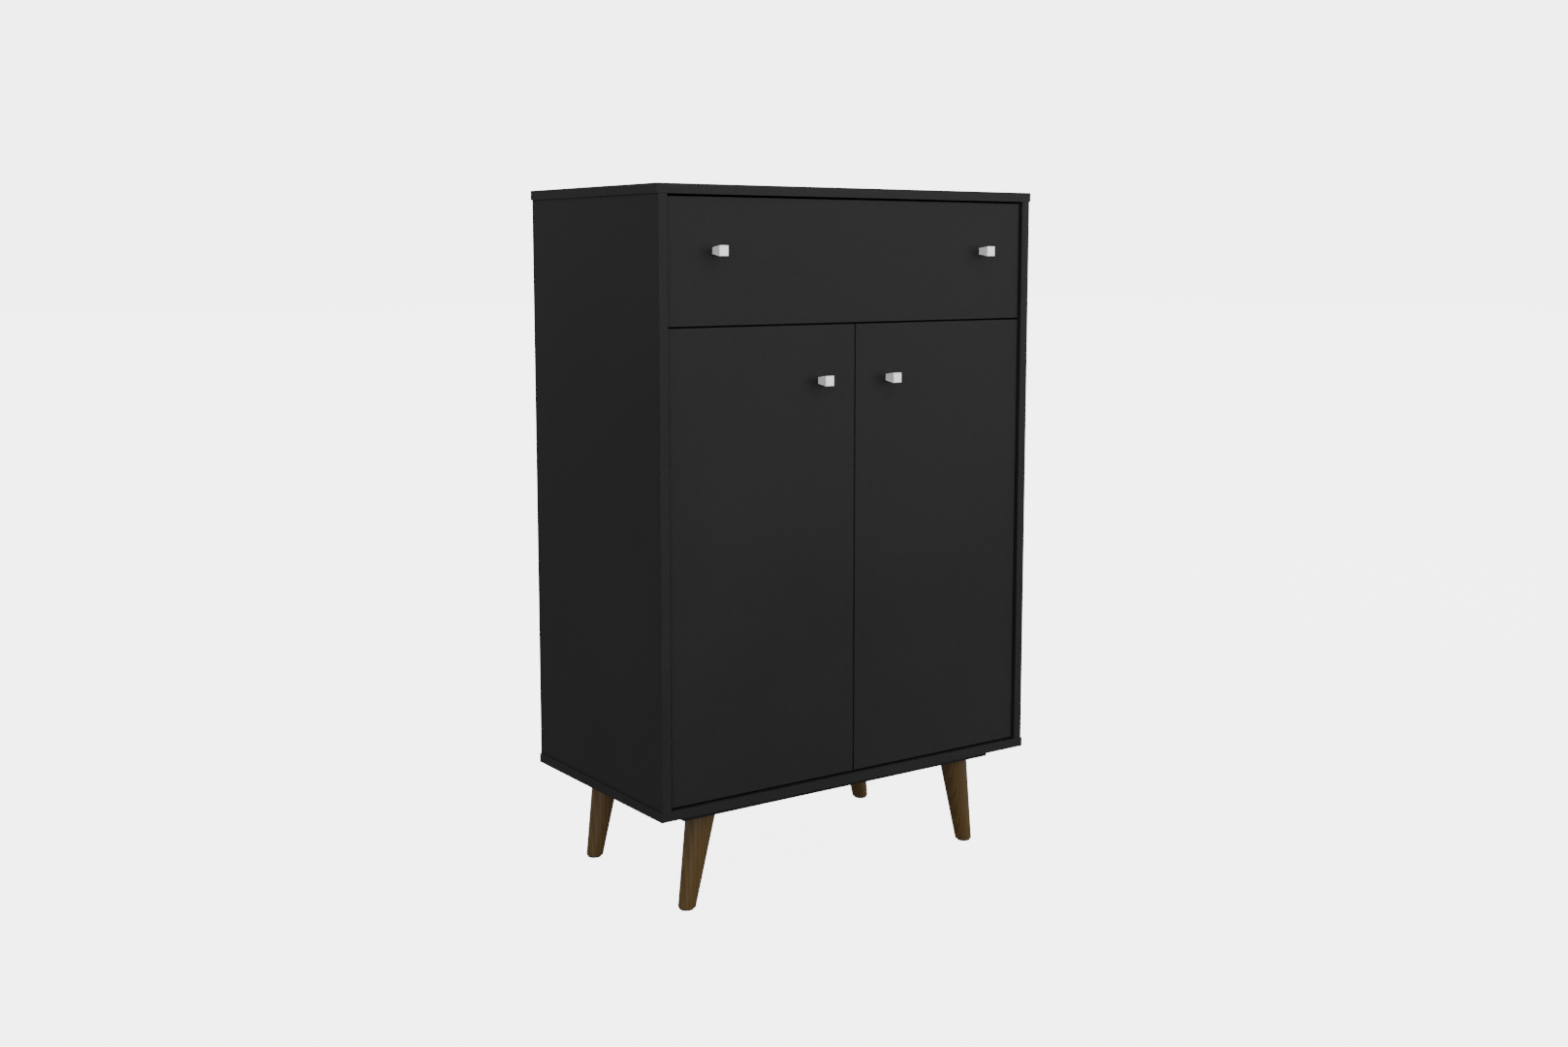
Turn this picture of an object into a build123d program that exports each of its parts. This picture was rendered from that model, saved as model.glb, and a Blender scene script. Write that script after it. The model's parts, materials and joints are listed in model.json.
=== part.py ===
from build123d import *
import os
from math import cos, radians, sin, tan

# A shoe cabinet: a board carcass on four splayed legs, one drawer over two inset doors.
# Millimetres. X to the right, Y to the back, Z up. The origin is on the floor, in the
# middle of the footprint that the knobs and the back edge make.

# ---- driving dimensions ----
WIDTH = 720.0            # top and bottom panels
DEPTH = 390.0            # panels, front edge to back edge
HEIGHT = 1104.0          # floor to top
LEG_CLEARANCE = 166.0    # floor to underside of the bottom panel
BOARD = 15.0             # carcass boards and fronts
THIN_BOARD = 12.0        # drawer box
SHEET = 3.0              # back and drawer bottom
OVERHANG = 2.5           # top and bottom panels stand this far past the sides

FRONT_RECESS = 5.0       # fronts sit this far behind the carcass edges
FRONT_GAP = 3.0          # around the fronts
DOOR_GAP = 2.0           # between the doors
DRAWER_FRONT_BOTTOM = 898.5
DRAWER_DOOR_GAP = 2.5

KNOB_FACE = 16.0
KNOB_BASE = 10.5
KNOB_LENGTH = 24.0
DRAWER_KNOB = (258.0, 1008.0)   # distance from the middle, height
DOOR_KNOB = (66.0, 811.0)

RAIL_WIDTH = 60.0
RAIL_END_INSET = 55.5
LEG_END_INSET = 105.0    # leg centre at the rail, from the panel's end
FRONT_LEG_INSET = 58.5
REAR_LEG_INSET = 40.0
LEG_SPLAY = 10.0         # degrees, sideways
LEG_TOP_RADIUS = 23.2
LEG_FOOT_RADIUS = 13.6
GLIDE_HEIGHT = 3.0

SHELF_COUNT = 3
INNER_SETBACK = 34.0     # divider and shelves behind the carcass edge, clear of the doors
DRAWER_LENGTH = 340.0    # behind the front
DRAWER_LOW, DRAWER_HIGH = 914.0, 1044.0     # lower and upper edges of the drawer's sides
DRAWER_SHEET_Z = 930.0   # underside of the drawer's bottom sheet
SLIDE_SPACE = 12.5       # between drawer side and carcass side

# ---- fittings ----
FREE = 0.05              # radial room in drilled holes
RUNNING = 0.05           # radial clearance of pins that turn
SKIN = 0.01              # how far a cutter starts outside the face that it opens
SHEET_ROOM = 0.1         # each side of a sheet in its groove
SCREW_RADIUS, SCREW_HEAD = 1.75, 3.4
SINK = 2.0               # depth of a countersink
CAM_SETBACK = 24.0       # cam centre behind the board's edge
THREAD = 11.0            # of a cam bolt or a dowel in the other board's face
BLIND = 0.4              # hole depth left past the end of what it takes
DOWEL_RADIUS = 4.0
DOWEL_REACH = 19.0       # of a dowel into the board's edge
BOLT_RADIUS = 4.0        # legs to rails
PIVOT_RADIUS = 1.5       # hinge pins
SHORT_SCREW = 12.0       # into the face of a board
STRIKE_X, STRIKE_Z = (5, 23), (14, 2)       # from the middle, and below the divider
STRIKE_SCREW = (14, 8)
STRIKE_SHEET = 1.2
AXLE_RADIUS = 2.0        # slide rollers

# ---- planes worked out from them ----
FRONT_Y = -DEPTH / 2 + (KNOB_LENGTH - FRONT_RECESS) / 2
BACK_Y = FRONT_Y + DEPTH
SIDE_OUT = WIDTH / 2 - OVERHANG
SIDE_IN = SIDE_OUT - BOARD
FLOOR_Z = LEG_CLEARANCE + BOARD         # inside of the carcass
CEILING_Z = HEIGHT - BOARD
RAIL_BOTTOM = LEG_CLEARANCE - BOARD
DIVIDER_Z = DRAWER_FRONT_BOTTOM - DRAWER_DOOR_GAP / 2 - BOARD / 2
FACE_Y = FRONT_Y + FRONT_RECESS         # outer face of the fronts
FACE_BACK = FACE_Y + BOARD
INNER_FRONT = FRONT_Y + INNER_SETBACK
SHEET_Y = BACK_Y - 11.5                 # front face of the back sheets
INNER_BACK = SHEET_Y - 2.0
DOOR_BOTTOM = FLOOR_Z + FRONT_GAP
DOOR_TOP = DRAWER_FRONT_BOTTOM - DRAWER_DOOR_GAP
LEG_X = WIDTH / 2 - LEG_END_INSET
LEG_Y = {"front": FRONT_Y + FRONT_LEG_INSET, "rear": BACK_Y - REAR_LEG_INSET}
SIDES = {"left": -1, "right": 1}

nodes = {}
carcass_screws, drawer_screws = [], []   # one group of screws for each body


def slab(x, y, z):
    """A box from pairs of limits, given in either order."""
    size = [abs(b - a) for a, b in (x, y, z)]
    middle = [(a + b) / 2 for a, b in (x, y, z)]
    return Pos(*middle) * Box(*size)


def rod(place, radius, start, end):
    """A round bar along the local Z of a place."""
    return place * Pos(0, 0, (start + end) / 2) * Cylinder(radius, end - start)


def looking(origin, direction, across=None):
    """A place whose local Z runs along the direction."""
    return Plane(origin=origin, x_dir=across, z_dir=direction).location


def group(solids):
    return Compound(list(solids))


# ---- fasteners: each returns its solids and the holes that take them ----
def screw(at, into, length, radius=SCREW_RADIUS, head=SCREW_HEAD):
    """Countersunk cross-head screw with the flat of its head at a point."""
    slot_length, slot_width, slot_depth = 3.2, 0.8, 1.2
    place = looking(at, into)
    body = rod(place, radius, 0, length) + place * Pos(0, 0, SINK / 2) * Cone(head, radius, SINK)
    hole = rod(place, radius + FREE, -SKIN, length + BLIND)
    hole += place * Pos(0, 0, SINK / 2) * Cone(head + FREE, radius + FREE, SINK)
    for size in ((slot_length, slot_width), (slot_width, slot_length)):
        body -= place * Pos(0, 0, slot_depth / 2) * Box(*size, slot_depth)
    return body, hole


def cam_joint(at, facing, into, board=BOARD):
    """Cam lock and bolt where one board's edge meets another's face."""
    place = looking(at, into, facing)
    k = board / BOARD
    radius, depth = board / 2, 0.8 * board
    head, neck, thread = 3.1 * k, 1.9 * k, 2.8 * k
    room = 0.3                              # round the bolt's head
    collar, half_head = 2.5, 2.0            # lengths along the bolt
    cross, cross_width, cross_depth = 6 * k, 1.4, 1.5
    turned = place * Pos(board / 2 - depth / 2, 0, -CAM_SETBACK) * Rot(0, 90, 0)
    cam = turned * Cylinder(radius, depth) - rod(place, head + room, -CAM_SETBACK - half_head - 1, 0)
    face = place * Pos(board / 2 - cross_depth / 2, 0, -CAM_SETBACK)
    cam -= [face * Box(cross_depth, cross_width, cross), face * Box(cross_depth, cross, cross_width)]
    bolt = rod(place, head, -CAM_SETBACK - half_head, -CAM_SETBACK + half_head)
    bolt += rod(place, neck, -CAM_SETBACK + half_head, 0) + rod(place, head, -collar, 0)
    bolt += rod(place, thread, 0, THREAD * k)
    edge_hole = turned * Cylinder(radius + FREE, depth + SKIN) + rod(place, head + room, -CAM_SETBACK, SKIN)
    face_hole = rod(place, thread + FREE, -SKIN, (THREAD + BLIND) * k)
    return {"cam": cam, "bolt": bolt, "edge": edge_hole, "face": face_hole}


def dowel_joint(at, into, board=BOARD):
    """Wooden dowel across a butt joint."""
    place = looking(at, into)
    k = board / BOARD
    radius = DOWEL_RADIUS * k
    edge_hole = rod(place, radius + FREE, -(DOWEL_REACH + BLIND) * k, SKIN)
    face_hole = rod(place, radius + FREE, -SKIN, (THREAD + BLIND) * k)
    return rod(place, radius, -DOWEL_REACH * k, THREAD * k), edge_hole, face_hole


# ---- carcass ----
def carcass():
    """Top, bottom, sides, divider and the fittings that hold them together."""
    cam_inset, dowel_inset = 60, 130             # from the front and back edges
    divider_front, divider_back = 95, 75
    cams, bolts, dowels = [], [], []
    cuts = {name: [] for name in ("top", "bottom", "left", "right", "divider")}
    for name, s in SIDES.items():
        x = s * (SIDE_OUT - BOARD / 2)
        for panel, z, up in (("top", CEILING_Z, 1), ("bottom", FLOOR_Z, -1)):
            for y in (FRONT_Y + cam_inset, BACK_Y - cam_inset):
                parts = cam_joint((x, y, z), (-s, 0, 0), (0, 0, up))
                cams.append(parts["cam"])
                bolts.append(parts["bolt"])
                cuts[name].append(parts["edge"])
                cuts[panel].append(parts["face"])
            for y in (FRONT_Y + dowel_inset, BACK_Y - dowel_inset):
                pin, edge, face = dowel_joint((x, y, z), (0, 0, up))
                dowels.append(pin)
                cuts[name].append(edge)
                cuts[panel].append(face)
        for y in (FRONT_Y + divider_front, BACK_Y - divider_back):
            parts = cam_joint((s * SIDE_IN, y, DIVIDER_Z + BOARD / 2), (0, 0, -1), (s, 0, 0))
            cams.append(parts["cam"])
            bolts.append(parts["bolt"])
            cuts["divider"].append(parts["edge"])
            cuts[name].append(parts["face"])
        pin, edge, face = dowel_joint((s * SIDE_IN, 0, DIVIDER_Z + BOARD / 2), (s, 0, 0))
        dowels.append(pin)
        cuts["divider"].append(edge)
        cuts[name].append(face)
    nodes["cam_locks"], nodes["cam_bolts"], nodes["dowels"] = group(cams), group(bolts), group(dowels)

    half, y = WIDTH / 2, (FRONT_Y, BACK_Y)
    boards = {
        "top": slab((-half, half), y, (CEILING_Z, HEIGHT)),
        "bottom": slab((-half, half), y, (LEG_CLEARANCE, FLOOR_Z)),
        "divider": slab((-SIDE_IN, SIDE_IN), (INNER_FRONT, INNER_BACK), (DIVIDER_Z, DIVIDER_Z + BOARD)),
    }
    for name, s in SIDES.items():
        boards[name] = slab((s * SIDE_IN, s * SIDE_OUT), y, (FLOOR_Z, CEILING_Z))
    return boards, cuts


def back_groove():
    """The space that the back sheets and their grooves take, as one block."""
    depth = 4.5
    return slab((-SIDE_IN - depth, SIDE_IN + depth), (SHEET_Y - SHEET_ROOM, SHEET_Y + SHEET + SHEET_ROOM),
                (FLOOR_Z - depth, CEILING_Z + depth))


def back_panel(cuts):
    """Two thin sheets in grooves, an H-shaped strip between them, and nails into the divider."""
    reach, gap = 4.0, 1.5                       # into the grooves, and from the middle
    nail, nail_head, nail_length, head_height = 0.8, 1.9, 20, 0.8
    web, flange, flange_half = 1.2, 1.1, 10     # of the strip
    sheets = {}
    for name, s in SIDES.items():
        sheets[name] = slab((s * gap, s * (SIDE_IN + reach)), (SHEET_Y, SHEET_Y + SHEET),
                            (FLOOR_Z - reach, CEILING_Z + reach))
    nails = []
    for x in (-280, -170, -60, 60, 170, 280):
        place = looking((x, SHEET_Y + SHEET, DIVIDER_Z + BOARD / 2), (0, -1, 0))
        nails.append(rod(place, nail, 0, nail_length) + rod(place, nail_head, -head_height, 0))
        hole = rod(place, nail + FREE, -SKIN, nail_length + BLIND)
        cuts["divider"].append(hole)
        sheets["left" if x < 0 else "right"] -= hole
    for name, sheet in sheets.items():
        nodes[name + "_back_panel"] = sheet
    nodes["back_nails"] = group(nails)
    z = (FLOOR_Z + 0.5, CEILING_Z - 0.5)
    strip = slab((-web, web), (SHEET_Y - flange, SHEET_Y + SHEET + flange), z)
    for y in (SHEET_Y - SHEET_ROOM - flange, SHEET_Y + SHEET + SHEET_ROOM):
        strip += slab((-flange_half, flange_half), (y, y + flange), z)
    nodes["back_joining_strip"] = strip


def shelves(cuts):
    """Loose shelves on pins, with spare holes above and below each one."""
    opening = (DIVIDER_Z - FLOOR_Z - SHELF_COUNT * BOARD) / (SHELF_COUNT + 1)
    hole_step, inset, end_room = 32, 71, 1.0
    hole_radius, hole_depth, pin_radius, pin_depth = 2.5, 9, 2.45, 8.5
    tongue_length, tongue_half, tongue_height = 9, 3.5, 5
    pins = []
    for i in range(SHELF_COUNT):
        z = FLOOR_Z + (i + 1) * opening + i * BOARD
        board = slab((-SIDE_IN + end_room, SIDE_IN - end_room), (INNER_FRONT, INNER_BACK), (z, z + BOARD))
        nodes["shelf_%d" % (i + 1)] = board
        for name, s in SIDES.items():
            for y in (FRONT_Y + inset, BACK_Y - inset):
                for step in (-hole_step, 0, hole_step):
                    hole = looking((s * SIDE_IN, y, z - hole_radius + step), (s, 0, 0))
                    cuts[name].append(rod(hole, hole_radius, -SKIN, hole_depth))
                place = looking((s * SIDE_IN, y, z - hole_radius), (s, 0, 0))
                tongue = slab((s * SIDE_IN, s * (SIDE_IN - tongue_length)),
                              (y - tongue_half, y + tongue_half), (z - tongue_height, z))
                pins.append(rod(place, pin_radius, 0, pin_depth) + tongue)
    nodes["shelf_pins"] = group(pins)


# ---- legs ----
def leg_axis(s, y):
    """Foot point, unit direction up the leg, and length to the rail."""
    run = RAIL_BOTTOM * tan(radians(LEG_SPLAY))
    direction = (-s * sin(radians(LEG_SPLAY)), 0, cos(radians(LEG_SPLAY)))
    return (s * (LEG_X + run), y, 0), direction, RAIL_BOTTOM / cos(radians(LEG_SPLAY))


def legs_and_rails(bottom_cuts):
    """Two rails screwed under the bottom panel, four tapered legs bolted through them."""
    screw_length, screw_radius, screw_head = 27, 2.0, 4.0
    bolt_in_leg, bolt_in_rail = 41, 12               # lengths of the bolt
    barrel, barrel_start, barrel_end = 5.5, 2.5, 12.5     # the tee nut's, along the bolt in the rail
    flange, flange_thickness, flange_gap = 9.0, 1.6, 0.2
    glide, glide_pin, glide_pin_top = 11.0, 1.0, 14
    bolts, nuts, glides = [], [], []
    end = WIDTH / 2 - RAIL_END_INSET
    slope = (LEG_TOP_RADIUS - LEG_FOOT_RADIUS) / RAIL_BOTTOM
    for row, y in LEG_Y.items():
        rail = slab((-end, end), (y - RAIL_WIDTH / 2, y + RAIL_WIDTH / 2), (RAIL_BOTTOM, LEG_CLEARANCE))
        for x in (-190, -65, 65, 190):
            body, hole = screw((x, y, RAIL_BOTTOM), (0, 0, 1), screw_length, screw_radius, screw_head)
            carcass_screws.append(body)
            rail -= hole
            bottom_cuts.append(hole)
        for name, s in SIDES.items():
            foot, up, length = leg_axis(s, y)
            place, upright = looking(foot, up), looking(foot, (0, 0, 1))
            extra = 12.0                             # of the blank past each end, before it is cut level
            blank = place * Pos(0, 0, length / 2) * Cone(
                LEG_FOOT_RADIUS - slope * extra, LEG_TOP_RADIUS + slope * extra, length + 2 * extra)
            room = 2 * LEG_TOP_RADIUS + extra
            leg = blank & slab((s * LEG_X - room, s * LEG_X + room), (y - room, y + room),
                               (GLIDE_HEIGHT, RAIL_BOTTOM))
            leg -= rod(place, BOLT_RADIUS + FREE, length - bolt_in_leg - BLIND, length + extra)
            leg -= rod(upright, glide_pin + FREE, 0, glide_pin_top + BLIND)
            nodes[row + "_" + name + "_leg"] = leg
            bolts.append(rod(place, BOLT_RADIUS, length - bolt_in_leg, length + bolt_in_rail))
            top = (foot[0] + up[0] * BOARD / up[2] + up[0] * length, y, LEG_CLEARANCE)
            down = looking(top, (0, 0, -1))
            nut = rod(place, barrel, length + barrel_start, length + barrel_end)
            nut += rod(down, flange, flange_gap, flange_gap + flange_thickness)
            nuts.append(nut - rod(place, BOLT_RADIUS + FREE, 0, length + 2 * BOARD))
            rail -= [rod(place, barrel + FREE, length + barrel_start - FREE, length + 2 * BOARD),
                     rod(place, BOLT_RADIUS + 4 * FREE, length - BOARD, length + barrel_start),
                     rod(down, flange + 2 * FREE, -SKIN, flange_gap + flange_thickness + 2 * FREE)]
            glides.append(rod(upright, glide, 0, GLIDE_HEIGHT) + rod(upright, glide_pin, 0, glide_pin_top))
        nodes[row + "_leg_rail"] = rail
    nodes["leg_bolts"], nodes["tee_nuts"], nodes["foot_glides"] = group(bolts), group(nuts), group(glides)


# ---- knobs ----
def knob(x, z, front_back, name):
    """A flared square knob on a front, its screw, and the hole through the front."""
    tip = FACE_Y - KNOB_LENGTH
    bevel = 0.8
    radius, head, head_height, reach = 2.0, 4.0, 2.4, 11     # its screw
    slot_length, slot_width, slot_depth = 5.0, 0.9, 1.0

    def square(y, width):
        return Plane(origin=(x, y, z), z_dir=(0, -1, 0)) * Rectangle(width, width)

    body = loft([square(FACE_Y, KNOB_BASE), square(tip + bevel, KNOB_FACE)])
    body += loft([square(tip + bevel, KNOB_FACE), square(tip, KNOB_FACE - 2 * bevel)])
    place = looking((x, front_back, z), (0, -1, 0))
    length = front_back - FACE_Y + reach
    pin = rod(place, radius, 0, length) + rod(place, head, -head_height, 0)
    pin -= place * Pos(0, 0, slot_depth / 2 - head_height) * Box(slot_length, slot_width, slot_depth)
    nodes[name] = body - rod(place, radius + FREE, 0, length + BLIND)
    return pin, rod(place, radius + FREE, -SKIN, BOARD + SKIN)


# ---- drawer ----
def drawer():
    """Front, box, bottom and fittings of the drawer."""
    x_out = SIDE_IN - SLIDE_SPACE
    x_in = x_out - THIN_BOARD
    back_y = FACE_BACK + DRAWER_LENGTH
    groove, end_room = 5.0, 0.5
    cam_low, cam_high, dowel_rise = 32, 22, 5
    screw_length, screw_radius, screw_head = 40, 2.0, 4.0
    front = slab((-SIDE_IN + FRONT_GAP, SIDE_IN - FRONT_GAP), (FACE_Y, FACE_BACK),
                 (DRAWER_FRONT_BOTTOM, CEILING_Z - FRONT_GAP))
    sides = {n: slab((s * x_in, s * x_out), (FACE_BACK, back_y), (DRAWER_LOW, DRAWER_HIGH))
             for n, s in SIDES.items()}
    sheet_top = DRAWER_SHEET_Z + SHEET
    back = slab((-x_in, x_in), (back_y - THIN_BOARD, back_y), (sheet_top + 2 * SHEET_ROOM, DRAWER_HIGH))
    slot = slab((-x_in - groove, x_in + groove), (FACE_BACK - groove, back_y + 1),
                (DRAWER_SHEET_Z - SHEET_ROOM, sheet_top + SHEET_ROOM))
    reach = groove - end_room
    nodes["drawer_bottom"] = slab((-x_in - reach, x_in + reach), (FACE_BACK - reach, back_y - 2 * end_room),
                                  (DRAWER_SHEET_Z, sheet_top))
    cams, pins = [], []
    front -= slot
    for name, s in SIDES.items():
        sides[name] -= slot
        x = s * (x_in + x_out) / 2
        for z in (DRAWER_LOW + cam_low, DRAWER_HIGH - cam_high):
            parts = cam_joint((x, FACE_BACK, z), (-s, 0, 0), (0, -1, 0), THIN_BOARD)
            cams += [parts["cam"], parts["bolt"]]
            sides[name] -= parts["edge"]
            front -= parts["face"]
            body, hole = screw((s * x_out, back_y - THIN_BOARD / 2, z), (-s, 0, 0),
                               screw_length, screw_radius, screw_head)
            drawer_screws.append(body)
            sides[name] -= hole
            back -= hole
        dowel_z = (DRAWER_LOW + DRAWER_HIGH) / 2 + dowel_rise
        pin, edge, face = dowel_joint((x, FACE_BACK, dowel_z), (0, -1, 0), THIN_BOARD)
        pins.append(pin)
        sides[name] -= edge
        front -= face
        body, hole = knob(s * DRAWER_KNOB[0], DRAWER_KNOB[1], FACE_BACK, "drawer_%s_knob" % name)
        drawer_screws.append(body)
        front -= hole
    nodes["drawer_cam_fittings"], nodes["drawer_dowels"] = group(cams), group(pins)
    nodes["drawer_front"], nodes["drawer_back"] = front, back
    return sides


def drawer_slides(cuts, drawer_sides):
    """Roller slides: a channel on the carcass, an angle under the drawer, a roller on each."""
    steel = 1.2
    radius, roller_in, roller_out = 9.0, 2.7, 9.5      # across, counted from the carcass side
    play = 0.3                                         # between a roller and the ledge over it
    track = DRAWER_LOW + 1.0                           # where the drawer's rollers run
    centre = track + radius + play
    ledge = centre + radius + play                     # underside of the drawer member's ledge
    lid = ledge + 1.9                                  # underside of the channel's top flange
    flange, ledge_start = 10.4, 2.0                    # across, counted from the carcass side
    start, end = FRONT_Y + 33, FRONT_Y + 368
    rollers = {"cabinet": FRONT_Y + 42, "drawer": FRONT_Y + 350}
    past_roller = 2.0
    cabinet_screws, cabinet_screw_length, cabinet_stand = (70, 198, 326), 13, 0.3
    side_screws, side_screw_length, side_stand = (60, 180, 300), 11.5, 0.2
    rivet_head, rivet_head_height, bore_depth = 3.6, 0.5, 3.0
    web = SLIDE_SPACE - steel
    rivets = {"cabinet": [], "drawer": []}
    channels, angles = [], []
    for name, s in SIDES.items():

        def across(start_u, end_u):
            return s * (SIDE_IN - start_u), s * (SIDE_IN - end_u)

        def at(u, y):
            return s * (SIDE_IN - u), y, centre

        fixed = slab(across(0, steel), (start, end), (track - steel, lid + steel))
        track_start = rollers["cabinet"] + radius + past_roller
        fixed += slab(across(0, flange), (track_start, end), (track - steel, track))
        fixed += slab(across(0, flange), (start, end), (lid, lid + steel))
        fixed += slab(across(0, flange), (end - steel, end), (track, lid))
        length = (FACE_BACK + 1, FACE_BACK + DRAWER_LENGTH)
        moving = slab(across(web, SLIDE_SPACE + THIN_BOARD), length, (DRAWER_LOW - steel, DRAWER_LOW))
        moving += slab(across(web, SLIDE_SPACE), length, (DRAWER_LOW - steel, ledge + steel))
        moving += slab(across(ledge_start, SLIDE_SPACE), (length[0], rollers["drawer"] + past_roller),
                       (ledge, ledge + steel))
        for y in cabinet_screws:
            body, hole = screw(at(steel + cabinet_stand, FRONT_Y + y), (s, 0, 0), cabinet_screw_length)
            carcass_screws.append(body)
            fixed -= hole
            cuts[name].append(hole)
        for y in side_screws:
            body, hole = screw(at(web - side_stand, FRONT_Y + y), (-s, 0, 0), side_screw_length)
            drawer_screws.append(body)
            moving -= hole
            drawer_sides[name] -= hole
        for member, head, tail in (("cabinet", flange, 0.0), ("drawer", ledge_start, SLIDE_SPACE)):
            out = 1 if head > tail else -1
            place = looking(at(tail, rollers[member]), (-s * out, 0, 0))
            reach = abs(head - tail)
            shank = rod(place, AXLE_RADIUS, 0, reach)
            rivets[member].append(shank + rod(place, rivet_head, reach - rivet_head_height, reach))
            bore = rod(place, AXLE_RADIUS + FREE, -SKIN, bore_depth)
            if member == "cabinet":
                fixed -= bore
            else:
                moving -= bore
            wheel = looking(at(roller_in, rollers[member]), (-s, 0, 0))
            width = roller_out - roller_in
            nodes["%s_roller_%s" % (member, name)] = (
                rod(wheel, radius, 0, width) - rod(wheel, AXLE_RADIUS + RUNNING, -1, width + 1))
        channels.append(fixed)
        angles.append(moving)
        nodes["drawer_%s_side" % name] = drawer_sides[name]
    nodes["slide_channels"], nodes["drawer_slide_angles"] = group(channels), group(angles)
    for member in rivets:
        nodes[member + "_roller_rivets"] = group(rivets[member])


# ---- doors ----
HINGE_X, HINGE_Y = 16.0, 13.0       # pivot, from the carcass side's inner face and the carcass edge
HINGE_INSET = 90.0                  # hinge centres from the door's ends
HINGE_HEIGHTS = (DOOR_BOTTOM + HINGE_INSET, DOOR_TOP - HINGE_INSET)
CUP_X = 24.5                        # middle of the cup, from the side's inner face
CUP_RADIUS, CUP_DEPTH, CUP_WALL = 17.5, 11.0, 1.0
FLANGE_RADIUS, FLANGE = 19.0, 1.2   # of the cup's rim, and its thickness
WING_HALF, WING_REACH = 6.5, 30.0   # the ears that the cup's screws go through
CUP_SCREWS = 24.0                   # above and below the middle
# The arm's middle line in plan, from the pin round the door's edge to the bar on the plate.
ARM_LINE = ((0, 0), (9, 0), (15.5, 6), (17.5, 14), (12, 20), (-2, 23.5))
ARM_THICKNESS, ARM_HALF = 2.5, 6.0
BAR_X, BAR_Y = (6.0, 15.0), (36, 84)
BAR_SCREWS, BAR_SCREW_RADIUS, BAR_SCREW_HEAD = (46, 72), 1.9, 3.2
PLATE_X, PLATE_Y, PLATE_HALF = (0, 6), (40, 80), 7.5
PLATE_WING_X, PLATE_WING_Y, PLATE_WING_HALF = (0, 2), (51, 63), 26.0
PLATE_SCREW_Y, PLATE_SCREWS = 57, 16.0


def hinge(s, z, cuts, door_cuts):
    """One concealed hinge: cup and pin in the door, arm and plate on the carcass side."""
    door_back = FRONT_RECESS + BOARD
    deep = 20.0                                  # past both ends of anything on the pin
    end_room = 0.15                              # from the pin's ends to the cup's wall

    def at(x, y):
        return s * (SIDE_IN - x), FRONT_Y + y

    def block(x, y, dz):
        return slab((at(x[0], 0)[0], at(x[1], 0)[0]), (FRONT_Y + y[0], FRONT_Y + y[1]), (z - dz, z + dz))

    cup_at = looking((*at(CUP_X, door_back), z), (0, -1, 0))
    pin_at = looking((*at(HINGE_X, HINGE_Y), z), (0, 0, 1))
    cup = rod(cup_at, CUP_RADIUS, 0, CUP_DEPTH) + rod(cup_at, FLANGE_RADIUS, -FLANGE, 0)
    cup += block((CUP_X - WING_HALF, CUP_X + WING_HALF), (door_back, door_back + FLANGE), WING_REACH)
    cup -= rod(cup_at, CUP_RADIUS - CUP_WALL, -2 * FLANGE, CUP_DEPTH - CUP_WALL)
    cup -= rod(pin_at, PIVOT_RADIUS + RUNNING / 2, -deep, deep)
    door_cuts.append(rod(cup_at, CUP_RADIUS + FREE, -SKIN, CUP_DEPTH + 2 * FREE))
    screws = []
    for dz in (-CUP_SCREWS, CUP_SCREWS):
        body, hole = screw((*at(CUP_X, door_back + FLANGE), z + dz), (0, -1, 0), SHORT_SCREW)
        screws.append(body)
        cup -= hole
        door_cuts.append(hole)

    path = Polyline(*[(*at(HINGE_X + x, HINGE_Y + y), z - ARM_HALF) for x, y in ARM_LINE])
    arm = extrude(trace(path, ARM_THICKNESS), 2 * ARM_HALF, dir=(0, 0, 1))
    arm += rod(pin_at, ARM_THICKNESS, -ARM_HALF, ARM_HALF) + block(BAR_X, BAR_Y, ARM_HALF)
    arm -= rod(pin_at, PIVOT_RADIUS + RUNNING, -deep, deep)
    plate = block(PLATE_X, PLATE_Y, PLATE_HALF) + block(PLATE_WING_X, PLATE_WING_Y, PLATE_WING_HALF)
    for dz in (-PLATE_SCREWS, PLATE_SCREWS):
        body, hole = screw((*at(PLATE_WING_X[1], PLATE_SCREW_Y), z + dz), (s, 0, 0), SHORT_SCREW)
        carcass_screws.append(body)
        plate -= hole
        cuts.append(hole)
    for y in BAR_SCREWS:
        place = looking((*at(BAR_X[1], y), z), (s, 0, 0))
        body = rod(place, BAR_SCREW_RADIUS, 0, SHORT_SCREW) + rod(place, BAR_SCREW_HEAD, 0, SINK)
        slot_length, slot_width, slot_depth = 5.0, 0.9, 0.8
        body -= place * Pos(0, 0, slot_depth / 2) * Box(slot_length, slot_width, slot_depth)
        carcass_screws.append(body)
        hole = rod(place, BAR_SCREW_RADIUS + FREE, 0, SHORT_SCREW + BLIND)
        hole += rod(place, BAR_SCREW_HEAD + FREE, -SKIN, SINK)
        arm -= hole
        plate -= hole
    pin_half = (CUP_RADIUS ** 2 - (CUP_X - HINGE_X + PIVOT_RADIUS) ** 2) ** 0.5 - end_room
    return cup, rod(pin_at, PIVOT_RADIUS, -pin_half, pin_half), arm, plate, screws


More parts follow.
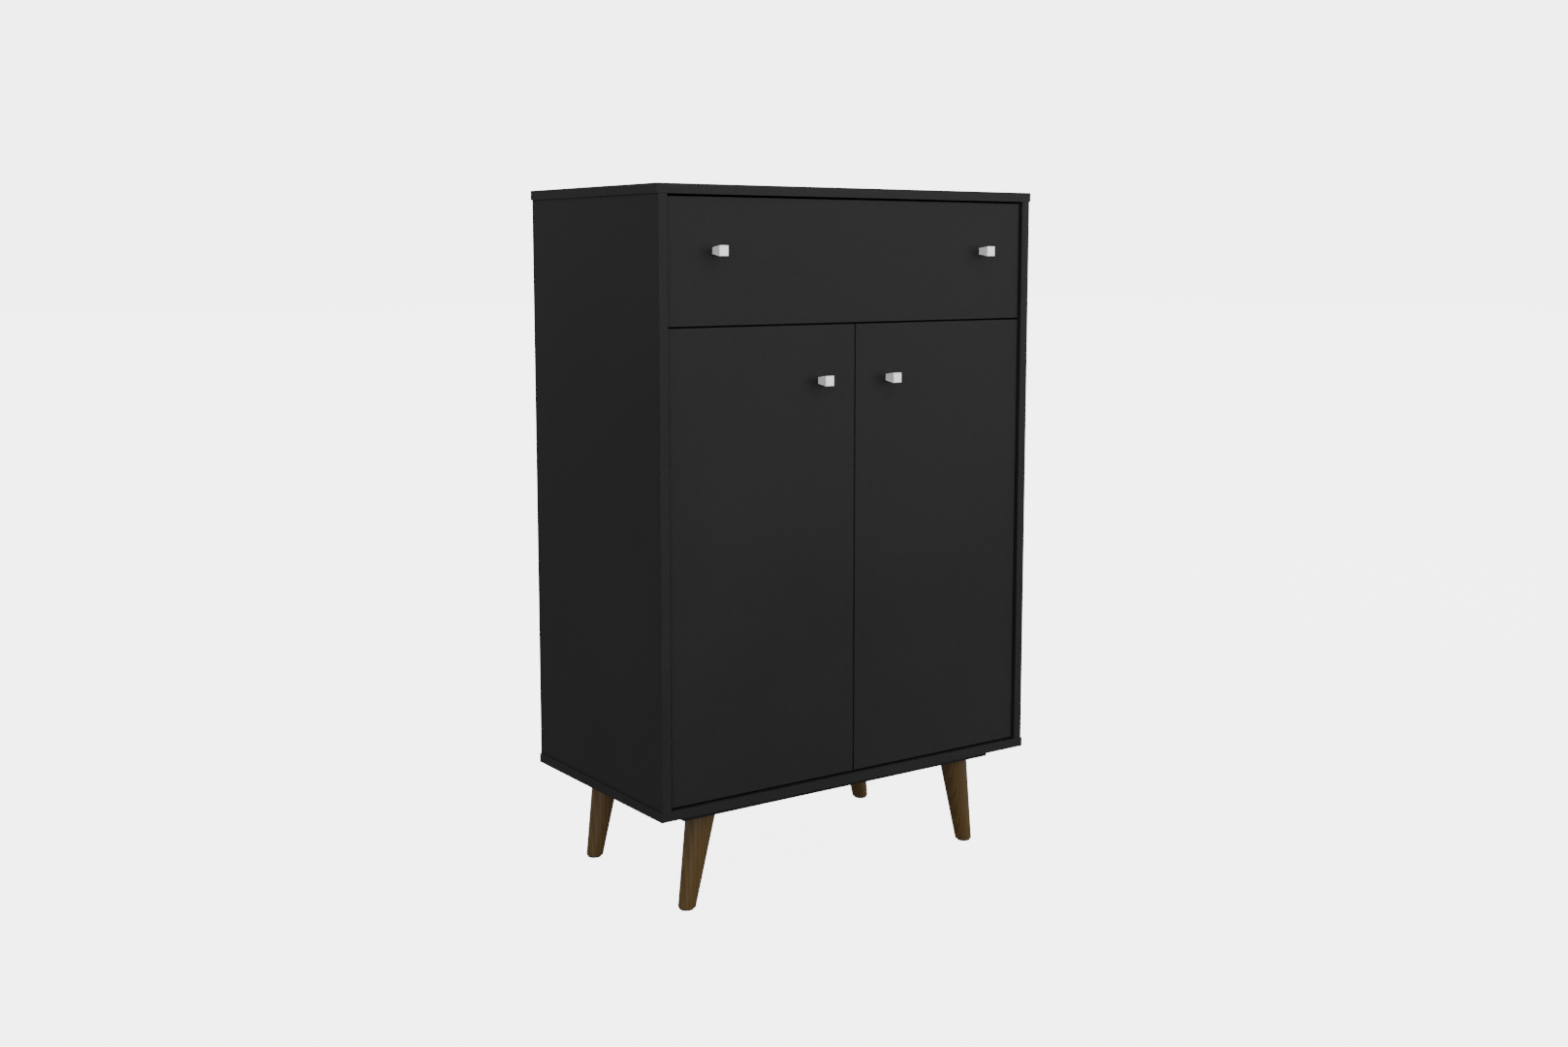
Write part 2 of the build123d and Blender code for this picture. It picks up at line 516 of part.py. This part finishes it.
def doors(cuts):
    """Two doors with their knobs, hinges and strike plates."""
    arms, plates = [], []
    for name, s in SIDES.items():
        door = slab((s * DOOR_GAP / 2, s * (SIDE_IN - FRONT_GAP)), (FACE_Y, FACE_BACK),
                    (DOOR_BOTTOM, DOOR_TOP))
        cups, pins, door_screws, door_cuts = [], [], [], []
        for z in HINGE_HEIGHTS:
            cup, pin, arm, plate, screws = hinge(s, z, cuts[name], door_cuts)
            cups.append(cup)
            pins.append(pin)
            arms.append(arm)
            plates.append(plate)
            door_screws += screws
        strike_front = FACE_BACK + STRIKE_SHEET
        at = (s * STRIKE_SCREW[0], strike_front, DIVIDER_Z - STRIKE_SCREW[1])
        strike_screw, hole = screw(at, (0, -1, 0), SHORT_SCREW)
        strike = slab([s * x for x in STRIKE_X], (FACE_BACK, strike_front), [DIVIDER_Z - z for z in STRIKE_Z])
        strike -= hole
        door_cuts.append(hole)
        body, hole = knob(s * DOOR_KNOB[0], DOOR_KNOB[1], FACE_BACK, name + "_door_knob")
        nodes[name + "_door"] = door - door_cuts - hole
        nodes[name + "_strike_plate"] = strike
        nodes[name + "_door_screws"] = group(door_screws + [strike_screw, body])
        nodes[name + "_hinge_cups"], nodes[name + "_hinge_pins"] = group(cups), group(pins)
    nodes["hinge_arms"], nodes["hinge_plates"] = group(arms), group(plates)


def magnetic_catch(divider_cuts):
    """A double catch under the divider, with a magnet for each door's strike plate."""
    gap, half, depth, height = 0.4, 27, 34, 15
    magnet_x, magnet_depth, magnet_z, proud = (7, 21), 12, (12, 4), 1
    screw_x, screw_y, screw_length = 17, 24, 27
    front = FACE_BACK + STRIKE_SHEET + gap
    body = slab((-half, half), (front + proud, front + depth), (DIVIDER_Z - height, DIVIDER_Z))
    magnets = []
    for s in (-1, 1):
        seat = slab([s * x for x in magnet_x], (front, front + magnet_depth),
                    [DIVIDER_Z - z for z in magnet_z])
        magnets.append(seat)
        body -= seat
        head, hole = screw((s * screw_x, front + screw_y, DIVIDER_Z - height), (0, 0, 1), screw_length)
        carcass_screws.append(head)
        body -= hole
        divider_cuts.append(hole)
    nodes["catch_body"], nodes["catch_magnets"] = body, group(magnets)


def build():
    boards, cuts = carcass()
    for name in ("top", "bottom", "left", "right"):
        cuts[name].append(back_groove())
    back_panel(cuts)
    shelves(cuts)
    legs_and_rails(cuts["bottom"])
    drawer_slides(cuts, drawer())
    doors(cuts)
    magnetic_catch(cuts["divider"])
    names = {"top": "top_panel", "bottom": "bottom_panel", "left": "left_side_panel",
             "right": "right_side_panel", "divider": "divider_shelf"}
    for key, board in boards.items():
        nodes[names[key]] = board - cuts[key]
    nodes["carcass_screws"], nodes["drawer_screws"] = group(carcass_screws), group(drawer_screws)


build()
os.makedirs("parts", exist_ok=True)
for name, shape in nodes.items():
    export_step(shape, "parts/%s.step" % name)
print(len(nodes), "nodes")
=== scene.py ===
import json
import math
import bpy
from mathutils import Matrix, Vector

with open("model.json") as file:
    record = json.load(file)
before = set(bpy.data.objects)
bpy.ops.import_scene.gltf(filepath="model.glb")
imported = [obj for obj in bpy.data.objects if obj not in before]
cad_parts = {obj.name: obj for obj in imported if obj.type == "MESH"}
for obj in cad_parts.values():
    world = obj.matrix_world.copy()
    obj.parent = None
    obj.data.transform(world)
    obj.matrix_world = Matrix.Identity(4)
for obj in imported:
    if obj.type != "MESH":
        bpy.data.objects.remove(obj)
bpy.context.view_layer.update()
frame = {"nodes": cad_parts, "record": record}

# Looks of the shoe cabinet. Metres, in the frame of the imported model: +X right, +Y back, +Z up,
# origin on the floor. The CAD nodes keep their shapes; here they get eased edges and materials.

MM = 0.001

# ---- camera and studio ----
CAMERA_PLACE = (-1.6533, -2.3349, 0.9998)
CAMERA_YAW = math.radians(-35.168)
CAMERA_PITCH = math.radians(-6.679)
LENS = 40.05
SHIFT_Y = -0.04

FLOOR_SIZE = 60.0
WORLD_LIGHT = 0.8         # what the world sheds on the object
WHITE_SWEEP = 5.0         # how bright the camera sees the world and the floor
LIGHTS = (                # name, place, target, size, power in watts
    ("key", (2.5, -3.5, 1.6), (0, 0, 0.6), (3.0, 3.2), 83),
    ("left_front", (-3.1, -3.0, 1.5), (0, 0, 0.45), (2.6, 2.4), 73),
    ("above", (0.2, -1.6, 2.7), (0, -0.2, 1.0), (2.0, 1.0), 14),
    ("behind", (0.9, 3.4, 2.3), (0.1, 0.2, 0.7), (2.4, 1.6), 45),
    ("right", (3.6, 0.9, 1.7), (0.36, 0, 0.6), (2.0, 1.8), 38),
)


# ---- node trees ----
def add_node(tree, kind, inputs=(), **settings):
    """Adds a node; inputs maps a socket's name or number to a value or another node's output."""
    node = tree.nodes.new(kind)
    for key, value in settings.items():
        setattr(node, key, value)
    for key, value in dict(inputs).items():
        socket = node.inputs[key]
        if isinstance(value, bpy.types.NodeSocket):
            tree.links.new(value, socket)
        else:
            socket.default_value = value
    return node


class Finish:
    """A Principled material. Each method adds a node and returns the output it is used by."""

    def __init__(self, name, **sockets):
        self.material = bpy.data.materials.new(name)
        self.material.use_nodes = True
        self.tree = self.material.node_tree
        self.tree.nodes.clear()
        self.shader = self.add("ShaderNodeBsdfPrincipled", sockets)
        self.add("ShaderNodeOutputMaterial", {"Surface": self.shader.outputs[0]})
        self.place = self.add("ShaderNodeTexCoord").outputs["Object"]

    def add(self, kind, inputs=(), **settings):
        return add_node(self.tree, kind, inputs, **settings)

    def mapped(self, scale=(1, 1, 1), turn=(0, 0, 0), shift=(0, 0, 0)):
        return self.add("ShaderNodeMapping", {"Vector": self.place, "Scale": scale, "Rotation": turn,
                                              "Location": shift}).outputs[0]

    def noise(self, scale, detail=2.0, rough=0.5, warp=0.0, vector=None):
        place = self.place if vector is None else vector
        return self.add("ShaderNodeTexNoise", {"Vector": place, "Scale": scale, "Detail": detail,
                                               "Roughness": rough, "Distortion": warp}).outputs["Fac"]

    def fit(self, value, low, high, to_low=0.0, to_high=1.0):
        return self.add("ShaderNodeMapRange", {"Value": value, "From Min": low, "From Max": high,
                                               "To Min": to_low, "To Max": to_high}).outputs[0]

    def math(self, what, a, b=0.0):
        return self.add("ShaderNodeMath", {0: a, 1: b}, operation=what).outputs[0]

    def mix(self, amount, a, b):
        node = self.add("ShaderNodeMix", data_type="RGBA")
        for key, value in (("Factor", amount), ("A", a), ("B", b)):
            socket = [s for s in node.inputs if s.name == key and s.enabled][0]
            if isinstance(value, bpy.types.NodeSocket):
                self.tree.links.new(value, socket)
            else:
                socket.default_value = value
        return [s for s in node.outputs if s.enabled][0]

    def edge(self, radius=1.2 * MM):
        """1 on an edge, 0 on a flat face, from how far a rounded normal leans from the true one."""
        rounded = self.add("ShaderNodeBevel", {"Radius": radius}, samples=4).outputs[0]
        true = self.add("ShaderNodeNewGeometry").outputs["Normal"]
        dot = self.add("ShaderNodeVectorMath", {0: rounded, 1: true}, operation="DOT_PRODUCT")
        return self.fit(dot.outputs["Value"], 0.999, 0.93)

    def bump(self, height, strength, depth):
        bump = self.add("ShaderNodeBump", {"Height": height, "Strength": strength, "Distance": depth})
        self.set("Normal", bump.outputs[0])

    def set(self, socket, value):
        self.tree.links.new(value, self.shader.inputs[socket])


# ---- colours, as shares of the light that comes back ----
def tone(*parts):
    return parts + (1.0,)


def grey(value):
    return tone(value, value, value)


# The third tone of each board is paler: it paints a highlight on the board's edges.
CHARCOAL_AND_EDGE_HIGHLIGHT = tone(0.0138, 0.0138, 0.0140), tone(0.0190, 0.0190, 0.0193), tone(0.040, 0.040, 0.041)
DRAWER_GREY_AND_EDGE_HIGHLIGHT = tone(0.030, 0.030, 0.031), tone(0.038, 0.038, 0.039), tone(0.09, 0.085, 0.08)
HARDBOARD = tone(0.022, 0.0215, 0.021), tone(0.031, 0.030, 0.029)
WALNUT = tone(0.052, 0.0272, 0.0050), tone(0.091, 0.0498, 0.0096), tone(0.117, 0.0667, 0.0152)
BEECH = tone(0.42, 0.27, 0.14), tone(0.58, 0.41, 0.24), tone(0.66, 0.49, 0.31)
# near-white knob tones: partly the pale metal, partly a painted reflection of the white studio
KNOB_WHITE_AS_REFLECTION = tone(0.93, 0.93, 0.935), tone(0.97, 0.97, 0.975)
NICKEL = tone(0.60, 0.58, 0.54), tone(0.68, 0.66, 0.62)
ZINC_CAST = grey(0.50), tone(0.60, 0.60, 0.61)
ZINC_STEEL = tone(0.55, 0.56, 0.57), tone(0.66, 0.66, 0.64)
DARK_PLASTIC = grey(0.018), grey(0.03)
NYLON = tone(0.62, 0.61, 0.57), tone(0.70, 0.69, 0.66)
ENAMEL = tone(0.50, 0.50, 0.49), tone(0.58, 0.58, 0.57)
FERRITE = tone(0.03, 0.03, 0.033), tone(0.06, 0.06, 0.062)
# pale grey of the painted highlight on metal edges
EDGE_HIGHLIGHT_GREY = grey(0.9)
FLOOR = grey(0.25), grey(0.27)
LEG_SPLAY = math.radians(10.0)


# ---- materials, one function for each kind ----
def board_finish(name, dark, light, edge_highlight_tone, roughness):
    """Melamine-faced board: fine embossed grain, faint clouds, and a patchy painted highlight that
    lightens the edges.
    """
    f = Finish(name, **{"Specular IOR Level": 0.09})
    clouds = f.noise(3.0, 3.0)
    grain = f.noise(650.0, 2.0, 0.6)
    speck = f.noise(2400.0, 1.0)
    mottle = f.noise(160.0, 3.0, 0.6)
    share = f.math("ADD", f.math("MULTIPLY", clouds, 0.40), f.math("MULTIPLY", grain, 0.35))
    share = f.math("ADD", share, f.math("MULTIPLY", mottle, 0.25))
    colour = f.mix(f.fit(share, 0.38, 0.62), dark, light)
    # painted highlight: the edges are lightened towards the third tone, in patches set by noise
    edge_highlight = f.math("MULTIPLY", f.edge(), f.fit(f.noise(60.0, 4.0, 0.7), 0.45, 0.7))
    colour = f.mix(f.math("MULTIPLY", edge_highlight, 0.6), colour, edge_highlight_tone)
    f.set("Base Color", colour)
    f.set("Roughness", f.fit(f.math("ADD", grain, clouds), 0.7, 1.3, roughness - 0.05, roughness + 0.07))
    f.bump(f.math("ADD", grain, f.math("MULTIPLY", speck, 0.4)), 0.45, 0.12 * MM)
    return f.material


def hardboard():
    f = Finish("hardboard", **{"Specular IOR Level": 0.3})
    fibres = f.noise(420.0, 5.0, 0.7, 0.6)
    clouds = f.math("MULTIPLY", f.noise(9.0, 3.0), 0.3)
    f.set("Base Color", f.mix(f.fit(f.math("ADD", fibres, clouds), 0.45, 0.85), *HARDBOARD))
    f.set("Roughness", f.fit(fibres, 0.3, 0.7, 0.5, 0.72))
    f.bump(fibres, 0.4, 0.12 * MM)
    return f.material


def wood(name, tones, along, turn=(0, 0, 0), shift=(0, 0, 0)):
    """Timber with growth rings cut along its length, fibres and open pores."""
    squeeze = 0.06              # of the pattern along the grain, which draws it out
    roughness = 0.42            # of the lacquer
    f = Finish(name, **{"Specular IOR Level": 0.45})
    stretch = [1.0, 1.0, 1.0]
    stretch[along] = squeeze
    lengthways = f.mapped(stretch, turn, shift)
    bend = f.noise(14.0, 2.0, 0.5, 0.0, lengthways)
    rings = f.add("ShaderNodeTexWave", {"Vector": lengthways, "Scale": 55.0, "Distortion": 3.5,
                                        "Detail": 3.0, "Detail Scale": 1.6, "Detail Roughness": 0.6},
                  bands_direction="X", wave_profile="SIN").outputs["Fac"]
    fibre = f.noise(900.0, 4.0, 0.65, 0.2, lengthways)
    pore = f.fit(f.noise(1500.0, 2.0, 0.5, 0.0, lengthways), 0.60, 0.72)
    share = f.math("ADD", f.math("MULTIPLY", rings, 0.45), f.math("MULTIPLY", bend, 0.55))
    colour = f.mix(f.fit(share, 0.2, 0.8), tones[0], tones[1])
    colour = f.mix(f.math("MULTIPLY", fibre, 0.35), colour, tones[2])
    colour = f.mix(f.math("MULTIPLY", pore, 0.5), colour, tones[0])
    # painted highlight: the edges are lightened towards the palest wood tone
    edge_highlight = f.math("MULTIPLY", f.edge(1.5 * MM), 0.35)
    f.set("Base Color", f.mix(edge_highlight, colour, tones[2]))
    f.set("Roughness", f.fit(fibre, 0.3, 0.7, roughness - 0.06, roughness + 0.1))
    height = f.math("SUBTRACT", fibre, f.math("MULTIPLY", pore, 1.5))
    f.bump(height, 0.25, 0.06 * MM)
    return f.material


def leg_wood(name, side, number):
    """The stain of one leg; its grain leans with the leg and differs from the others."""
    apart = [step * number for step in (0.37, 0.53, 0.19)]
    return wood(name, WALNUT, 2, turn=(0, LEG_SPLAY * side, 0), shift=apart)


def metal(name, colour, second, roughness, grain=900.0, bump=0.1):
    """Plated or cast metal: cloudy tarnish, fine grain in the polish, and a painted highlight that
    brightens the edges.
    """
    f = Finish(name, Metallic=1.0)
    clouds = f.noise(45.0, 3.0)
    fine = f.noise(grain, 3.0, 0.6)
    base = f.mix(f.fit(clouds, 0.35, 0.65), colour, second)
    # painted highlight: the edges are brightened towards pale grey
    f.set("Base Color", f.mix(f.math("MULTIPLY", f.edge(0.4 * MM), 0.4), base, EDGE_HIGHLIGHT_GREY))
    f.set("Roughness", f.fit(f.math("ADD", fine, clouds), 0.7, 1.3, roughness * 0.7, roughness * 1.3))
    f.bump(fine, bump, 0.02 * MM)
    return f.material


def knob_painted_reflection():
    """Knob chrome drawn mostly diffuse and near-white, partly its pale metal and partly a painted
    reflection of the white studio: fine lines along the length, and a painted highlight that whitens the
    edges.
    """
    f = Finish("knob_chrome", Metallic=0.1)
    lines = f.noise(2600.0, 3.0, 0.6, 0.0, f.mapped((1, 0.03, 1)))
    clouds = f.noise(120.0, 2.0)
    base = f.mix(f.fit(clouds, 0.3, 0.7), *KNOB_WHITE_AS_REFLECTION)
    # painted highlight: the edges are whitened
    f.set("Base Color", f.mix(f.math("MULTIPLY", f.edge(0.5 * MM), 0.5), base, grey(1.0)))
    f.set("Roughness", f.fit(f.math("ADD", lines, clouds), 0.7, 1.3, 0.20, 0.30))
    f.bump(lines, 0.06, 0.01 * MM)
    return f.material


def plastic(name, dark, light, roughness, grain=700.0, bump=0.3):
    """Moulded plastic with a fine spark-eroded texture."""
    f = Finish(name)
    fine = f.noise(grain, 3.0, 0.6)
    clouds = f.noise(30.0, 2.0)
    f.set("Base Color", f.mix(f.fit(f.math("ADD", fine, clouds), 0.75, 1.25), dark, light))
    f.set("Roughness", f.fit(fine, 0.3, 0.7, roughness - 0.05, roughness + 0.08))
    f.bump(fine, bump, 0.04 * MM)
    return f.material


def slot_materials():
    """A material for each slot of the record, except the legs, which get one each."""
    return {
        "charcoal_board": board_finish("charcoal_board", *CHARCOAL_AND_EDGE_HIGHLIGHT, 0.5),
        "drawer_board": board_finish("drawer_board", *DRAWER_GREY_AND_EDGE_HIGHLIGHT, 0.6),
        "hardboard": hardboard(),
        "dowel_wood": wood("dowel_wood", BEECH, 0),
        "knob_chrome": knob_painted_reflection(),
        "dark_plastic": plastic("dark_plastic", *DARK_PLASTIC, 0.5),
        "roller_nylon": plastic("roller_nylon", *NYLON, 0.35, 300.0, 0.1),
        "slide_enamel": plastic("slide_enamel", *ENAMEL, 0.3, 260.0, 0.2),
        "magnet": plastic("magnet", *FERRITE, 0.55, 1200.0, 0.5),
        "nickel_plate": metal("nickel_plate", *NICKEL, 0.22),
        "zinc_casting": metal("zinc_casting", *ZINC_CAST, 0.45, 500.0, 0.4),
        "zinc_steel": metal("zinc_steel", *ZINC_STEEL, 0.3),
    }


# ---- eased edges ----
WELD = 0.002 * MM
SHARP = math.radians(28)     # between two faces, for their edge to count as one
BEVEL_STEPS = 3


def edge_picker():
    """Node group that welds split vertices and gives the long sharp edges a bevel weight."""
    tree = bpy.data.node_groups.new("pick_edges", "GeometryNodeTree")
    for name, way, kind in (("Geometry", "INPUT", "Geometry"), ("Shortest", "INPUT", "Float"),
                            ("Square Ends", "INPUT", "Float"), ("Geometry", "OUTPUT", "Geometry")):
        tree.interface.new_socket(name, in_out=way, socket_type="NodeSocket" + kind)
    given = tree.nodes.new("NodeGroupInput").outputs

    def add(kind, inputs=(), **settings):
        return add_node(tree, kind, inputs, **settings).outputs

    def compare(a, b, how):
        return add("FunctionNodeCompare", {0: a, 1: b}, operation=how)[0]

    def both(a, b):
        return add("FunctionNodeBooleanMath", {0: a, 1: b}, operation="AND")[0]

    def height(place):
        return add("ShaderNodeSeparateXYZ", {0: place})["Z"]

    welded = add("GeometryNodeMergeByDistance", {"Geometry": given["Geometry"], "Distance": WELD})[0]
    sharp = compare(add("GeometryNodeInputMeshEdgeAngle")["Unsigned Angle"], SHARP, "GREATER_THAN")
    ends = add("GeometryNodeInputMeshEdgeVertices")
    length = add("ShaderNodeVectorMath", {0: ends["Position 1"], 1: ends["Position 2"]},
                 operation="DISTANCE")["Value"]
    picked = both(sharp, compare(length, given["Shortest"], "GREATER_THAN"))
    # an edge this near the piece's top or bottom is butted to another board, and stays square
    box = add("GeometryNodeBoundBox", {"Geometry": welded})
    middle = height(add("GeometryNodeInputPosition")[0])
    for end in ("Min", "Max"):
        offset = add("ShaderNodeMath", {0: middle, 1: height(box[end])}, operation="SUBTRACT")[0]
        away = add("ShaderNodeMath", {0: offset}, operation="ABSOLUTE")[0]
        picked = both(picked, compare(away, given["Square Ends"], "GREATER_EQUAL"))
    shaded = add("GeometryNodeSetMeshNormal", {"Mesh": welded, "Remove Custom": True,
                                               "Edge Sharpness": sharp, "Face Sharpness": False})[0]
    weighted = add("GeometryNodeStoreNamedAttribute", {"Geometry": shaded, "Name": "bevel_weight_edge",
                                                       "Value": picked}, data_type="FLOAT", domain="EDGE")
    out = tree.nodes.new("NodeGroupOutput")
    tree.links.new(weighted[0], out.inputs[0])
    return tree


def ease_edges(obj, picker, width, shortest, square_ends):
    """Rounds the long sharp edges of a piece. The lengths are in metres."""
    pick = obj.modifiers.new("pick_edges", "NODES")
    pick.node_group = picker
    pick[picker.interface.items_tree["Shortest"].identifier] = shortest
    pick[picker.interface.items_tree["Square Ends"].identifier] = square_ends
    bevel = obj.modifiers.new("eased_edges", "BEVEL")
    bevel.limit_method = "WEIGHT"
    bevel.width = width
    bevel.segments = BEVEL_STEPS
    bevel.harden_normals = True
    bevel.use_clamp_overlap = False


# ---- dressing the CAD nodes ----
EASED = {   # slot: bevel width and the shortest edge it takes, in metres
    "charcoal_board": (0.5 * MM, 20 * MM),
    "drawer_board": (0.5 * MM, 20 * MM),
    "hardboard": (0.3 * MM, 20 * MM),
    "knob_chrome": (0.35 * MM, 3 * MM),
    "dark_plastic": (0.4 * MM, 3 * MM),
    "leg_wood": (0.8 * MM, 0.9 * MM),
    "slide_enamel": (0.25 * MM, 5 * MM),
    "nickel_plate": (0.25 * MM, 3 * MM),
    "magnet": (0.3 * MM, 3 * MM),
}
BUTTED = {name: 1.0 * MM for name in ("left_side_panel", "right_side_panel")}


def dress_nodes():
    """Gives every CAD node its slot's material, and eased edges where its slot has them."""
    finishes = slot_materials()
    picker = edge_picker()
    slots = {part["node"]: part["material_slot"] for part in frame["record"]["subparts"]}
    legs = [name for name in slots if slots[name] == "leg_wood"]
    for name, obj in frame["nodes"].items():
        slot = slots[name]
        if slot == "leg_wood":
            side = -1 if "left" in name else 1
            material = leg_wood(name + "_stain", side, legs.index(name))
        else:
            material = finishes[slot]
        for place in obj.material_slots:
            place.material = material
        if slot in EASED:
            ease_edges(obj, picker, *EASED[slot], BUTTED.get(name, 0.0))


# ---- studio ----
def floor():
    bpy.ops.mesh.primitive_plane_add(size=FLOOR_SIZE, location=(0, 0, 0))
    plane = bpy.context.object
    plane.name = "studio_floor"
    f = Finish("studio_floor", **{"Roughness": 0.9, "Specular IOR Level": 0.0,
                                  "Emission Color": grey(1.0)})
    f.set("Base Color", f.mix(f.noise(0.8), *FLOOR))
    seen = f.add("ShaderNodeLightPath").outputs["Is Camera Ray"]
    f.set("Emission Strength", f.math("MULTIPLY", seen, WHITE_SWEEP))
    plane.data.materials.append(f.material)


def light(name, place, target, size, power):
    """A soft rectangular light at a place, aimed at a target; size in metres, power in watts."""
    data = bpy.data.lights.new(name, "AREA")
    data.shape = "RECTANGLE"
    data.size, data.size_y = size
    data.energy = power
    obj = bpy.data.objects.new(name, data)
    obj.location = place
    obj.rotation_euler = (Vector(target) - Vector(place)).to_track_quat("-Z", "Y").to_euler()
    bpy.context.scene.collection.objects.link(obj)


def studio():
    floor()
    world = bpy.data.worlds.new("studio")
    world.use_nodes = True
    tree = world.node_tree
    seen = add_node(tree, "ShaderNodeLightPath").outputs["Is Camera Ray"]
    strength = add_node(tree, "ShaderNodeMapRange", {"Value": seen, "To Min": WORLD_LIGHT,
                                                     "To Max": WHITE_SWEEP})
    sky = tree.nodes["Background"]
    sky.inputs["Color"].default_value = grey(1.0)
    tree.links.new(strength.outputs[0], sky.inputs["Strength"])
    bpy.context.scene.world = world
    for name, place, target, size, power in LIGHTS:
        light(name, place, target, size, power)


def camera():
    data = bpy.data.cameras.new("camera")
    data.sensor_width = 36.0
    data.lens = LENS
    data.shift_y = SHIFT_Y
    data.clip_end = 200.0
    obj = bpy.data.objects.new("camera", data)
    obj.location = CAMERA_PLACE
    obj.rotation_euler = (math.pi / 2 + CAMERA_PITCH, 0, CAMERA_YAW)
    bpy.context.scene.collection.objects.link(obj)
    bpy.context.scene.camera = obj


camera()
studio()
dress_nodes()
